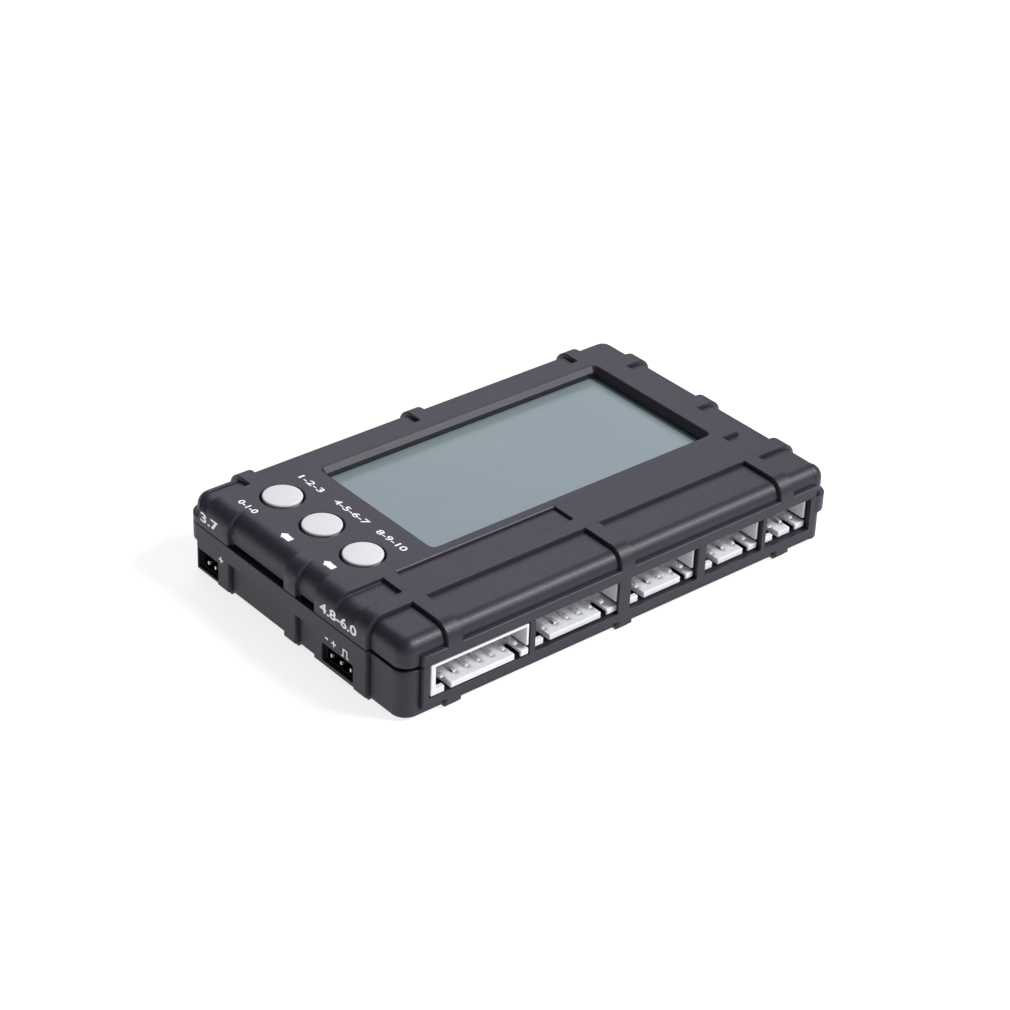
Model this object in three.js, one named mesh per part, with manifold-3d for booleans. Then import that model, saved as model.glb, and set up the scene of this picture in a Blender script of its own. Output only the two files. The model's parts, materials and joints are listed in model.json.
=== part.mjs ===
// Pocket balance charger for small battery packs: two moulded case shells with wrap-round straps, an LCD,
// three push buttons, five balance headers along the front and two small sockets in the left end.
// Millimetres, +Z up. X runs along the long side, the headers face -Y and the small sockets face -X.
// The origin is the centre of the footprint, on the surface the charger rests on.
import * as THREE from 'three';
import { mergeVertices } from 'three/addons/utils/BufferGeometryUtils.js';
import Module from 'manifold-3d';

// ---- driving dimensions ----
const LENGTH = 93.3;
const WIDTH = 59.2;
const HEIGHT = 15.5;
const SEAM_Z = 9.7; // height of the parting line between the shells
const STRAP_RISE = 0.75; // how far straps, belt and frame stand proud of the panels
const WALL = 1.6;
const FLOOR = 1.2;
const CORNER_RADIUS = 3.4;
const TOP_RADIUS = 3.2;
const BOTTOM_RADIUS = 0.8;
const GAP = 0.3; // clearance between neighbouring pieces
const SEAM_GAP = 0.3;

const STRAP_X = [-36.1, 0, 36.1]; // straps that cross the front and back
const STRAP_Y = [-18.75, 0, 18.8]; // straps that cross the two ends
const STRAP_HALF_X = 1.55;
const STRAP_HALF_Y = 1.65;
const FOOT_LENGTH = 8; // how far a strap runs in under the case as a foot

const FRAME_TOP = 11.9; // raised frame round the header openings
const FRAME_BOTTOM = 1.9;
const FRAME_LEFT = -42.45;
const FRAME_RIGHT = 43.4;
const BELT_BOTTOM = 6.3; // raised belt that follows the seam round the back and the ends
const BELT_TOP = 11.2;

const FRONT_PANEL_EDGE = -20.1; // back edge of the recessed panels over the headers
const BACK_PANEL_EDGE = 23.65;
const RIGHT_PANEL_EDGE = 40.75;
const SIDE_PANEL = { front: -17.1, back: -12.2, inner: 37.2 };
const TOP_PANEL = { left: -34.4, right: -1.3, front: -16.8, back: -12.1, depth: 0.5 };
const SOCKET_PAD_2 = { front: 17.15, back: 26.4 }; // raised pads round the sockets in the left end
const SOCKET_PAD_3 = { front: -20.4, back: -6.6 };
const VENT_HEIGHT = 0.8;

const WINDOW = { left: -25.5, right: 36.3, front: -10.2, back: 20.7 };
const WINDOW_BEVEL = 0.9;
const WINDOW_CORNER = 1.2;
const CEILING = 13.6; // underside of the upper shell's top plate
const LCD_TOP = CEILING - GAP;
const LCD_OVERLAP = 1; // glass past the window on each side
const LCD_LEDGE = 2; // contact ledge along the front of the front glass
const GLASS = 1.1;
const REFLECTOR = 0.4;

const BUTTON_X = -35.6;
const BUTTON_Y = [-4.95, 6.1, 17.1];
const BUTTON_RADIUS = 3.42;
const BUTTON_TOP = 15.95;
const BUTTON_HOLE_RADIUS = 3.78;
const FLANGE_TOP = 13.25;
const PLUNGER_TOP = 8.9;

const PCB_TOP = 3.5;
const PCB_THICKNESS = 1.2;

const PITCH = 2.5;
const PIN_SIZE = 0.64;
const HEADER_HEIGHT = 5.75;
const HEADER_DEPTH = 7;
const HEADER_BASE = SEAM_Z - SEAM_GAP / 2 - HEADER_HEIGHT;
const PIN_TIP_RECESS = 0.4;
const PIN_HEIGHT = 2.65; // pin centre line above the underside of the housing
const PIN_LENGTH = 8.4; // from the tip to the bend
const HEADER_WALL = { left: 0.95, right: 0.5, top: 0.45, floor: 1.1, back: 1.2 };
const HEADER_FOOT = { start: 2.65, end: 4.05, lip: 0.9 }; // slot by the first pin, behind a short foot
const HEADER_SLOT = { beforePin: 0.45, afterPin: 0.9, depth: 4.2 }; // floor slot under the last pin
const HEADER_SLIT = 0.7; // gap between the floor and the right wall
const HEADERS = [
  { pins: 7, firstPin: -38.45, left: -40.85, right: -21.0, recess: 0 },
  { pins: 6, firstPin: -17.0, left: -19.9, right: -1.2, recess: 0.75 },
  { pins: 5, firstPin: 3.2, left: 0.6, right: 15.7, recess: 0.85 },
  { pins: 4, firstPin: 20.2, left: 17.5, right: 30.6, recess: 0.95 },
  { pins: 3, firstPin: 33.95, left: 31.75, right: 42.0, recess: 1.05 },
];
const OPENINGS = [[-41.15, -20.7], [-19.55, -1.75], [0.8, 15.85], [17.65, 30.75], [31.65, 42.15]];

const SOCKET_2 = { pins: 2, pitch: 2.0, y: 23.05, width: 5.3, bottom: 1.75, height: 3.1, depth: 6.5 };
const SOCKET_3 = { pins: 3, pitch: 2.54, y: -12.95, width: 7.7, bottom: 2.05, height: 2.8, depth: 6.5 };
const SOCKET_RECESS = 0.5;
const SOCKET_PIN_RECESS = 0.25; // pin tip behind the mouth of the socket
const SOCKET_PIN_HEIGHT = 1.0;
const SOCKET_WALL = 0.6;
const SOCKET_SKIN = 0.4;
const PIN_CHAMFER = { length: 0.35, drop: 0.15 };

const BOSSES = [[-34.5, -17.1], [41.6, -17.1], [-31, 24.2], [41.6, 24.2]];
const BOSS_RADIUS = 2.8;
const SCREW_RADIUS = 1.2;
const SCREW_HEAD_RADIUS = 2.3;
const SCREW_HEAD_HEIGHT = 1.4;
const SCREW_HEAD_DEPTH = 0.6; // head below the underside of the case

const HALF_X = LENGTH / 2;
const HALF_Y = WIDTH / 2;
const FAR = 100; // reach of a cutting block past the outside of the case

const wasm = await Module();
wasm.setup();

// ---- solids ----
function toSolid(geometry) {
  geometry.deleteAttribute('normal');
  geometry.deleteAttribute('uv');
  const merged = mergeVertices(geometry, 1e-5);
  return new wasm.Manifold(new wasm.Mesh({
    numProp: 3,
    vertProperties: new Float32Array(merged.attributes.position.array),
    triVerts: new Uint32Array(merged.index.array),
  }));
}

function toGeometry(solid) {
  const mesh = solid.getMesh();
  const geometry = new THREE.BufferGeometry();
  geometry.setAttribute('position', new THREE.BufferAttribute(new Float32Array(mesh.vertProperties), 3));
  geometry.setIndex(new THREE.BufferAttribute(new Uint32Array(mesh.triVerts), 1));
  geometry.computeVertexNormals();
  return geometry;
}

function block(x0, x1, y0, y1, z0, z1) {
  const geometry = new THREE.BoxGeometry(x1 - x0, y1 - y0, z1 - z0);
  geometry.translate((x0 + x1) / 2, (y0 + y1) / 2, (z0 + z1) / 2);
  return toSolid(geometry);
}

function rod(x, y, z0, z1, radius, sides = 20) {
  const geometry = new THREE.CylinderGeometry(radius, radius, z1 - z0, sides);
  geometry.rotateX(Math.PI / 2);
  geometry.translate(x, y, (z0 + z1) / 2);
  return toSolid(geometry);
}

function joinAll(solids) {
  return solids.reduce((total, solid) => total.add(solid));
}

function cutAll(solid, cutters) {
  return cutters.reduce((rest, cutter) => rest.subtract(cutter), solid);
}

// A closed body through a stack of rectangles with rounded corners: layers of [height, inset].
function roundedStack(halfX, halfY, corner, layers, steps = 5) {
  const positions = [];
  const index = [];
  const ring = 4 * (steps + 1);
  for (const [z, inset] of layers) {
    const radius = Math.max(corner - inset, 0.15);
    for (let quarter = 0; quarter < 4; quarter++) {
      const signX = quarter === 0 || quarter === 3 ? 1 : -1;
      const signY = quarter < 2 ? 1 : -1;
      const cx = signX * (halfX - inset - radius);
      const cy = signY * (halfY - inset - radius);
      for (let step = 0; step <= steps; step++) {
        const angle = (quarter + step / steps) * Math.PI / 2;
        positions.push(cx + radius * Math.cos(angle), cy + radius * Math.sin(angle), z);
      }
    }
  }
  for (let layer = 0; layer < layers.length - 1; layer++) {
    for (let i = 0; i < ring; i++) {
      const a = layer * ring + i;
      const b = layer * ring + (i + 1) % ring;
      index.push(a, b, b + ring, a, b + ring, a + ring);
    }
  }
  const top = (layers.length - 1) * ring;
  for (let i = 1; i < ring - 1; i++) {
    index.push(0, i + 1, i);
    index.push(top, top + i, top + i + 1);
  }
  const geometry = new THREE.BufferGeometry();
  geometry.setAttribute('position', new THREE.Float32BufferAttribute(positions, 3));
  geometry.setIndex(index);
  return toSolid(geometry);
}

// The outer envelope of the whole case, moved in by the given insets.
function envelope(insetX = 0, insetY = 0, insetTop = 0, insetBottom = 0) {
  const layers = [];
  const bottom = insetBottom;
  const top = HEIGHT - insetTop;
  const steps = 5;
  for (let step = 0; step <= 2; step++) {
    const angle = step / 2 * Math.PI / 2;
    layers.push([bottom + BOTTOM_RADIUS * (1 - Math.sin(angle)), BOTTOM_RADIUS * (1 - Math.cos(angle))]);
  }
  layers.reverse();
  for (let step = 0; step <= steps; step++) {
    const angle = step / steps * Math.PI / 2;
    layers.push([top - TOP_RADIUS * (1 - Math.sin(angle)), TOP_RADIUS * (1 - Math.cos(angle))]);
  }
  return roundedStack(HALF_X - insetX, HALF_Y - insetY, CORNER_RADIUS, layers);
}

// ---- case shells ----
// What a recessed panel removes: the part of a region that lies outside the inset envelope.
function panelCut(region, insetX, insetY, insetTop) {
  return region.subtract(envelope(insetX, insetY, insetTop));
}

function upperPanelCuts() {
  const rise = STRAP_RISE;
  const strapInner = STRAP_X[2] - STRAP_HALF_X;
  const strapOuter = STRAP_X[2] + STRAP_HALF_X;
  const cuts = [];
  for (const [x0, x1] of [[-strapInner, -STRAP_HALF_X], [STRAP_HALF_X, strapInner]]) {
    cuts.push(panelCut(block(x0, x1, -FAR, FRONT_PANEL_EDGE, FRAME_TOP, FAR), 0, rise, rise));
    cuts.push(panelCut(block(x0, x1, BACK_PANEL_EDGE, FAR, BELT_TOP, FAR), 0, rise, rise));
  }
  const cornerFront = STRAP_Y[0] - STRAP_HALF_Y;
  cuts.push(panelCut(block(-FAR, FRAME_LEFT, -FAR, cornerFront, 0, FAR), rise, rise, rise));
  cuts.push(panelCut(block(FRAME_LEFT, -strapOuter, -FAR, cornerFront, FRAME_TOP, FAR), 0, rise, rise));
  cuts.push(panelCut(block(strapOuter, FAR, -FAR, cornerFront, FRAME_TOP, FAR), rise, rise, rise));
  cuts.push(panelCut(block(FRAME_RIGHT, FAR, -FAR, cornerFront, 0, FAR), rise, rise, rise));
  cuts.push(panelCut(block(-FAR, -strapOuter, BACK_PANEL_EDGE, FAR, BELT_TOP, FAR), 0, rise, rise));
  cuts.push(panelCut(block(strapOuter, FAR, BACK_PANEL_EDGE, FAR, BELT_TOP, FAR), 0, rise, rise));
  const side = SIDE_PANEL;
  cuts.push(panelCut(block(-FAR, -side.inner, side.front, side.back, SEAM_Z, FAR), 0, 0, rise));
  cuts.push(panelCut(block(side.inner, FAR, side.front, side.back, BELT_TOP, FAR), rise, 0, rise));
  const rightRanges = [
    [side.back - 0.1, -STRAP_HALF_Y],
    [STRAP_HALF_Y, STRAP_Y[2] - STRAP_HALF_Y],
    [STRAP_Y[2] + STRAP_HALF_Y, FAR],
  ];
  for (const [y0, y1] of rightRanges) {
    cuts.push(panelCut(block(RIGHT_PANEL_EDGE, FAR, y0, y1, BELT_TOP, FAR), rise, 0, rise));
  }
  for (const [y0, y1] of [[STRAP_HALF_Y, SOCKET_PAD_2.front], [SOCKET_PAD_3.back, -STRAP_HALF_Y]]) {
    cuts.push(panelCut(block(-FAR, 0, y0, y1, 0, FAR), rise, 0, 0));
    cuts.push(block(-FAR, -HALF_X + STRAP_RISE + WALL + 0.2, y0 + 0.3, y1 - 0.5, 0, SEAM_Z + VENT_HEIGHT));
  }
  const top = TOP_PANEL;
  cuts.push(block(top.left, top.right, top.front, top.back, HEIGHT - top.depth, FAR));
  return cuts;
}

function windowCut() {
  const w = WINDOW;
  const halfX = (w.right - w.left) / 2;
  const halfY = (w.back - w.front) / 2;
  const layers = [
    [LCD_TOP - 1, WINDOW_BEVEL],
    [HEIGHT - WINDOW_BEVEL, WINDOW_BEVEL],
    [HEIGHT + 0.01, -0.01],
  ];
  const centre = [(w.left + w.right) / 2, (w.front + w.back) / 2, 0];
  return roundedStack(halfX, halfY, WINDOW_CORNER, layers, 3).translate(centre);
}

function upperShell() {
  const insetX = STRAP_RISE + WALL;
  let shell = envelope().intersect(block(-FAR, FAR, -FAR, FAR, SEAM_Z + SEAM_GAP / 2, FAR));
  shell = cutAll(shell, upperPanelCuts());
  const cavityLayers = [[0, 0], [CEILING - 1.2, 0], [CEILING, 1.2]];
  const cavity = roundedStack(HALF_X - insetX, HALF_Y - insetX, 1.6, cavityLayers, 3);
  const bottom = SEAM_Z + SEAM_GAP / 2;
  const bosses = joinAll(BOSSES.map(([x, y]) => rod(x, y, bottom, CEILING + 0.5, BOSS_RADIUS)));
  shell = shell.subtract(cavity).add(bosses);
  shell = shell.subtract(windowCut());
  for (const y of BUTTON_Y) {
    shell = shell.subtract(rod(BUTTON_X, y, 0, FAR, BUTTON_HOLE_RADIUS, 40));
  }
  for (const [x, y] of BOSSES) {
    shell = shell.subtract(rod(x, y, 0, SEAM_Z + 3.4, SCREW_RADIUS + 0.3));
  }
  return shell;
}

function lowerRaisedRegions() {
  const regions = [];
  const inFromEnd = HALF_X - FOOT_LENGTH;
  const inFromSide = HALF_Y - FOOT_LENGTH;
  for (const x of STRAP_X) {
    regions.push(block(x - STRAP_HALF_X, x + STRAP_HALF_X, -FAR, -inFromSide, -1, SEAM_Z));
    regions.push(block(x - STRAP_HALF_X, x + STRAP_HALF_X, inFromSide, FAR, -1, SEAM_Z));
  }
  for (const y of STRAP_Y) {
    regions.push(block(-FAR, -inFromEnd, y - STRAP_HALF_Y, y + STRAP_HALF_Y, -1, SEAM_Z));
    regions.push(block(inFromEnd, FAR, y - STRAP_HALF_Y, y + STRAP_HALF_Y, -1, SEAM_Z));
  }
  regions.push(block(FRAME_LEFT, FRAME_RIGHT, -FAR, 0, FRAME_BOTTOM, SEAM_Z));
  regions.push(block(-FAR, FAR, SOCKET_PAD_3.front, FAR, BELT_BOTTOM, SEAM_Z));
  regions.push(block(0, FAR, -FAR, 0, BELT_BOTTOM, SEAM_Z));
  for (const pad of [SOCKET_PAD_2, SOCKET_PAD_3]) {
    regions.push(block(-FAR, 0, pad.front, pad.back, STRAP_RISE, SEAM_Z));
  }
  return joinAll(regions);
}

function lowerCuts() {
  const cuts = [];
  const pocketBack = -HALF_Y + STRAP_RISE + WALL + 1;
  HEADERS.forEach((header, i) => {
    const [left, right] = OPENINGS[i];
    const face = -HALF_Y + Math.max(header.recess - GAP, 0);
    const bottom = HEADER_BASE - GAP;
    cuts.push(block(left, right, -FAR, pocketBack, bottom, SEAM_Z + 1));
    cuts.push(block(header.left - GAP, header.right + GAP, face, pocketBack, bottom, SEAM_Z + 1));
  });
  for (const socket of [SOCKET_2, SOCKET_3]) {
    const half = socket.width / 2 + GAP;
    const inner = -HALF_X + SOCKET_RECESS + socket.depth + GAP;
    const top = socket.bottom + socket.height + GAP;
    cuts.push(block(-FAR, inner, socket.y - half, socket.y + half, socket.bottom - GAP, top));
  }
  for (const [x, y] of BOSSES) {
    cuts.push(rod(x, y, -1, SEAM_Z + 1, SCREW_RADIUS + 0.3));
    cuts.push(rod(x, y, -1, STRAP_RISE + SCREW_HEAD_HEIGHT + 0.9, SCREW_HEAD_RADIUS + 0.3, 24));
  }
  return cuts;
}

function lowerShell() {
  const inset = STRAP_RISE + WALL;
  const below = block(-FAR, FAR, -FAR, FAR, -1, SEAM_Z - SEAM_GAP / 2);
  const core = envelope(STRAP_RISE, STRAP_RISE, 0, STRAP_RISE);
  const raised = envelope().intersect(lowerRaisedRegions());
  const outer = core.add(raised).intersect(below);
  const floor = STRAP_RISE + FLOOR;
  const cavityLayers = [[floor, 0.6], [floor + 0.6, 0], [FAR, 0]];
  const cavity = roundedStack(HALF_X - inset, HALF_Y - inset, 1.6, cavityLayers, 3);
  const top = SEAM_Z - SEAM_GAP / 2;
  const bosses = joinAll(BOSSES.map(([x, y]) => rod(x, y, STRAP_RISE + 0.3, top, BOSS_RADIUS)));
  return cutAll(outer.subtract(cavity).add(bosses), lowerCuts());
}

// ---- headers and sockets ----
// Side-entry housing, mouth towards -Y, built from its left underside corner.
function headerHousing(header) {
  const width = header.right - header.left;
  const wall = HEADER_WALL;
  const mouthDepth = HEADER_DEPTH - wall.back;
  const firstPin = header.firstPin - header.left;
  const lastPin = firstPin + PITCH * (header.pins - 1);
  const top = HEADER_HEIGHT - wall.top;
  const foot = HEADER_FOOT;
  const slot = HEADER_SLOT;
  const under = wall.floor + 0.1;
  let solid = block(0, width, 0, HEADER_DEPTH, 0, HEADER_HEIGHT);
  solid = cutAll(solid, [
    block(wall.left, width - wall.right, -1, mouthDepth, wall.floor, top),
    block(foot.start, foot.end, -1, slot.depth, -1, under),
    block(wall.left, foot.end, foot.lip, slot.depth, -1, under),
    block(lastPin - slot.beforePin, lastPin + slot.afterPin, -1, slot.depth, -1, under),
    block(width - wall.right - 0.1, width + 1, -1, slot.depth, wall.floor, wall.floor + HEADER_SLIT),
  ]);
  const half = PIN_SIZE / 2 + GAP;
  const z = PIN_HEIGHT;
  for (let pin = 0; pin < header.pins; pin++) {
    const x = firstPin + PITCH * pin;
    solid = solid.subtract(block(x - half, x + half, 1, HEADER_DEPTH + 1, z - half, z + half));
  }
  return solid;
}

// A square pin that runs back from its tip and turns down into the board.
function bentPin(length, drop) {
  const half = PIN_SIZE / 2;
  const tip = PIN_CHAMFER.length;
  const outline = new THREE.Shape();
  outline.moveTo(0, -half + PIN_CHAMFER.drop);
  outline.lineTo(tip, -half);
  outline.lineTo(length - half, -half);
  outline.lineTo(length - half, -drop);
  outline.lineTo(length + half, -drop);
  outline.lineTo(length + half, half);
  outline.lineTo(tip, half);
  outline.lineTo(0, half - PIN_CHAMFER.drop);
  outline.closePath();
  const geometry = new THREE.ExtrudeGeometry(outline, { depth: PIN_SIZE, bevelEnabled: false });
  geometry.rotateX(Math.PI / 2);
  geometry.rotateZ(Math.PI / 2);
  geometry.translate(-half, 0, 0);
  return toSolid(geometry);
}

// A straight square pin along +X with a pointed front end.
function straightPin(length) {
  const half = PIN_SIZE / 2;
  const outline = new THREE.Shape();
  outline.moveTo(0, -half + PIN_CHAMFER.drop);
  outline.lineTo(PIN_CHAMFER.length, -half);
  outline.lineTo(length, -half);
  outline.lineTo(length, half);
  outline.lineTo(PIN_CHAMFER.length, half);
  outline.lineTo(0, half - PIN_CHAMFER.drop);
  outline.closePath();
  const geometry = new THREE.ExtrudeGeometry(outline, { depth: PIN_SIZE, bevelEnabled: false });
  geometry.translate(0, 0, -half);
  return toSolid(geometry);
}

// Small two- or three-pin socket, mouth towards -X, built about its own centre line.
function socketHousing(socket) {
  const half = socket.width / 2;
  const inside = half - SOCKET_WALL;
  const gap = PIN_SIZE / 2 + GAP;
  const top = socket.height - SOCKET_SKIN;
  let solid = block(0, socket.depth, -half, half, 0, socket.height);
  solid = solid.subtract(block(-1, socket.depth - 1.2, -inside, inside, SOCKET_SKIN, top));
  for (let pin = 0; pin < socket.pins; pin++) {
    const y = (pin - (socket.pins - 1) / 2) * socket.pitch;
    const z = SOCKET_PIN_HEIGHT;
    solid = solid.subtract(block(1, socket.depth + 1, y - gap, y + gap, z - gap, z + gap));
  }
  return solid;
}

// ---- display, board and buttons ----
function lcdPlate(top, thickness, ledge) {
  const w = WINDOW;
  const left = w.left - LCD_OVERLAP;
  const right = w.right + LCD_OVERLAP;
  const front = w.front - LCD_OVERLAP - ledge;
  return block(left, right, front, w.back + LCD_OVERLAP, top - thickness, top);
}

function contactStrip(top) {
  const front = WINDOW.front - LCD_OVERLAP - LCD_LEDGE + 0.1;
  return block(WINDOW.left, WINDOW.right, front, front + 1.5, PCB_TOP + GAP, top);
}

function mainBoard() {
  const bottom = PCB_TOP - PCB_THICKNESS;
  const edgeX = HALF_X - STRAP_RISE - WALL - 0.9;
  const edgeY = HALF_Y - STRAP_RISE - WALL - 0.9;
  let board = block(-edgeX, edgeX, -edgeY, edgeY, bottom, PCB_TOP);
  for (const [socket, back] of [[SOCKET_2, FAR], [SOCKET_3, SOCKET_3.width / 2 + 0.6]]) {
    const front = socket.y - socket.width / 2 - 0.6;
    const inner = -HALF_X + SOCKET_RECESS + socket.depth + 0.9;
    board = board.subtract(block(-FAR, inner, front, socket.y + back, 0, FAR));
  }
  for (const [x, y] of BOSSES) {
    board = board.subtract(rod(x, y, 0, FAR, BOSS_RADIUS + 0.4, 24));
  }
  const [cornerX, cornerY] = BOSSES[3];
  board = board.subtract(block(cornerX, FAR, cornerY, FAR, 0, FAR));
  return board;
}

function buttonCap() {
  const dome = [
    [0, BUTTON_TOP],
    [1.6, BUTTON_TOP - 0.03],
    [BUTTON_RADIUS - 0.45, BUTTON_TOP - 0.13],
    [BUTTON_RADIUS - 0.12, BUTTON_TOP - 0.24],
    [BUTTON_RADIUS, BUTTON_TOP - 0.5],
    [BUTTON_RADIUS, FLANGE_TOP],
    [BUTTON_RADIUS + 0.9, FLANGE_TOP],
    [BUTTON_RADIUS + 0.9, FLANGE_TOP - 0.8],
    [1.7, FLANGE_TOP - 0.8],
    [1.7, PLUNGER_TOP + GAP],
    [0, PLUNGER_TOP + GAP],
  ];
  const geometry = new THREE.LatheGeometry(dome.reverse().map(([r, z]) => new THREE.Vector2(r, z)), 40);
  geometry.rotateX(Math.PI / 2);
  return toSolid(geometry);
}

function switchBody() {
  const body = block(-3, 3, -3, 3, PCB_TOP + GAP, PCB_TOP + 3.7);
  return body.subtract(rod(0, 0, PCB_TOP + 1.6, FAR, 1.95, 24));
}

function switchPlunger() {
  return rod(0, 0, PCB_TOP + 2.4, PLUNGER_TOP, 1.65, 24);
}

function screw() {
  const headBottom = STRAP_RISE + SCREW_HEAD_DEPTH;
  const headTop = headBottom + SCREW_HEAD_HEIGHT;
  const head = rod(0, 0, headBottom, headTop, SCREW_HEAD_RADIUS, 24);
  const shank = rod(0, 0, headTop - 0.1, SEAM_Z + 3, SCREW_RADIUS, 16);
  const slotA = block(-1.4, 1.4, -0.25, 0.25, 0, headBottom + 0.7);
  const slotB = block(-0.25, 0.25, -1.4, 1.4, 0, headBottom + 0.7);
  return head.add(shank).subtract(slotA).subtract(slotB);
}

// ---- materials ----
const materials = {
  case: new THREE.MeshStandardMaterial({ color: 0x4a4950, roughness: 0.5, metalness: 0 }),
  nylon: new THREE.MeshStandardMaterial({ color: 0xe8edee, roughness: 0.45, metalness: 0 }),
  socket: new THREE.MeshStandardMaterial({ color: 0x1a1a1c, roughness: 0.5, metalness: 0 }),
  button: new THREE.MeshStandardMaterial({ color: 0xe2e1e6, roughness: 0.4, metalness: 0 }),
  pin: new THREE.MeshStandardMaterial({ color: 0xc9c6bf, roughness: 0.25, metalness: 1 }),
  glass: new THREE.MeshStandardMaterial({ color: 0x919ca2, roughness: 0.15, metalness: 0 }),
  reflector: new THREE.MeshStandardMaterial({ color: 0xb9c0b6, roughness: 0.3, metalness: 0.6 }),
  elastomer: new THREE.MeshStandardMaterial({ color: 0x2c2c2e, roughness: 0.8, metalness: 0 }),
  board: new THREE.MeshStandardMaterial({ color: 0x1f5a34, roughness: 0.5, metalness: 0 }),
  steel: new THREE.MeshStandardMaterial({ color: 0x8d8f92, roughness: 0.35, metalness: 1 }),
  chip: new THREE.MeshStandardMaterial({ color: 0x1c1c1e, roughness: 0.6, metalness: 0 }),
  ceramic: new THREE.MeshStandardMaterial({ color: 0xd8d4c8, roughness: 0.7, metalness: 0 }),
};

// ---- assembly ----
const model = new THREE.Group();

function addPiece(name, solid, material, x = 0, y = 0, z = 0, parent = model) {
  const mesh = new THREE.Mesh(toGeometry(solid), materials[material].clone());
  mesh.name = name;
  mesh.position.set(x, y, z);
  parent.add(mesh);
}

function addCase() {
  addPiece('upper_shell', upperShell(), 'case');
  addPiece('lower_shell', lowerShell(), 'case');
  BOSSES.forEach(([x, y], i) => addPiece(`case_screw_${i + 1}`, screw(), 'steel', x, y));
}

function addDisplay() {
  const rearTop = LCD_TOP - GLASS - GAP;
  const reflectorTop = rearTop - GLASS - GAP;
  addPiece('lcd_front_glass', lcdPlate(LCD_TOP, GLASS, LCD_LEDGE), 'glass');
  addPiece('lcd_rear_glass', lcdPlate(rearTop, GLASS, 0), 'glass');
  addPiece('lcd_reflector', lcdPlate(reflectorTop, REFLECTOR, 0), 'reflector');
  addPiece('lcd_contact_strip', contactStrip(rearTop), 'elastomer');
}

function addButtons() {
  BUTTON_Y.forEach((y, i) => {
    const group = new THREE.Group();
    group.position.set(BUTTON_X, y, 0);
    model.add(group);
    addPiece(`button_cap_${i + 1}`, buttonCap(), 'button', 0, 0, 0, group);
    addPiece(`switch_plunger_${i + 1}`, switchPlunger(), 'chip', 0, 0, 0, group);
    addPiece(`switch_body_${i + 1}`, switchBody(), 'chip', 0, 0, 0, group);
  });
}

function addBoard() {
  const top = PCB_TOP + GAP;
  addPiece('main_board', mainBoard(), 'board');
  addPiece('microcontroller', block(-5, 5, -5, 5, 0, 1.6), 'chip', -12, 8, top);
  addPiece('load_resistor_1', block(-7, 7, -2.5, 2.5, 0, 4.5), 'ceramic', 14, 14, top);
  addPiece('load_resistor_2', block(-7, 7, -2.5, 2.5, 0, 4.5), 'ceramic', 14, 2, top);
}

function addHeaders() {
  const drop = PIN_HEIGHT + HEADER_BASE - PCB_TOP - GAP;
  for (const header of HEADERS) {
    const group = new THREE.Group();
    group.position.set(header.left, -HALF_Y + header.recess, HEADER_BASE);
    model.add(group);
    addPiece(`header_${header.pins}_housing`, headerHousing(header), 'nylon', 0, 0, 0, group);
    for (let pin = 0; pin < header.pins; pin++) {
      const solid = bentPin(PIN_LENGTH, drop);
      const x = header.firstPin - header.left + PITCH * pin;
      addPiece(`header_${header.pins}_pin_${pin + 1}`, solid, 'pin', x, PIN_TIP_RECESS, PIN_HEIGHT, group);
    }
  }
}

function addSockets() {
  for (const socket of [SOCKET_2, SOCKET_3]) {
    const group = new THREE.Group();
    group.position.set(-HALF_X + SOCKET_RECESS, socket.y, socket.bottom);
    model.add(group);
    addPiece(`socket_${socket.pins}_housing`, socketHousing(socket), 'socket', 0, 0, 0, group);
    const length = socket.depth - SOCKET_PIN_RECESS + 0.4;
    for (let pin = 0; pin < socket.pins; pin++) {
      const y = (pin - (socket.pins - 1) / 2) * socket.pitch;
      const name = `socket_${socket.pins}_pin_${pin + 1}`;
      addPiece(name, straightPin(length), 'pin', SOCKET_PIN_RECESS, y, SOCKET_PIN_HEIGHT, group);
    }
  }
}

addCase();
addDisplay();
addButtons();
addBoard();
addHeaders();
addSockets();

export default model;
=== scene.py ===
import json
import math

import bmesh
import bpy
from mathutils import Matrix, Vector


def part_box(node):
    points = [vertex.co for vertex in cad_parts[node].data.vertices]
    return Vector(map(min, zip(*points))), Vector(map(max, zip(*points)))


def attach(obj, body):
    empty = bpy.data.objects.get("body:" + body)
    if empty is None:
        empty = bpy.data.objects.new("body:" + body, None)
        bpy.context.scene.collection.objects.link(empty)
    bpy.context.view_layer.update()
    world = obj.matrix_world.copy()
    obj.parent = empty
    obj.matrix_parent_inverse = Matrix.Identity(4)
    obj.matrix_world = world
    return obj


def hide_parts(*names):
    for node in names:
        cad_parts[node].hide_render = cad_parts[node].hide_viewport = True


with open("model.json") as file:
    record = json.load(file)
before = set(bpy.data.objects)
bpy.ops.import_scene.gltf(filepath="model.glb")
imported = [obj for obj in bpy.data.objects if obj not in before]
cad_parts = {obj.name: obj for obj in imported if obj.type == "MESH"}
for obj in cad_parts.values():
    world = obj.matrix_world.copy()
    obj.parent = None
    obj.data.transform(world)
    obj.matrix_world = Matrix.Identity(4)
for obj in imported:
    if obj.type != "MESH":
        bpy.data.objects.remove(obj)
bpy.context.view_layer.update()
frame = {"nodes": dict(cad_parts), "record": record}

MM = 0.001


# ---- sizes read from the frame ----
def cad_box(node):
    """Lowest and highest corner of a CAD node, in millimetres."""
    low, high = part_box(node)
    return [c / MM for c in low], [c / MM for c in high]


UPPER_LOW, UPPER_HIGH = cad_box("upper_shell")
HALF_X, HALF_Y, TOP = UPPER_HIGH
SEAM = (UPPER_LOW[2] + cad_box("lower_shell")[1][2]) / 2

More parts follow.
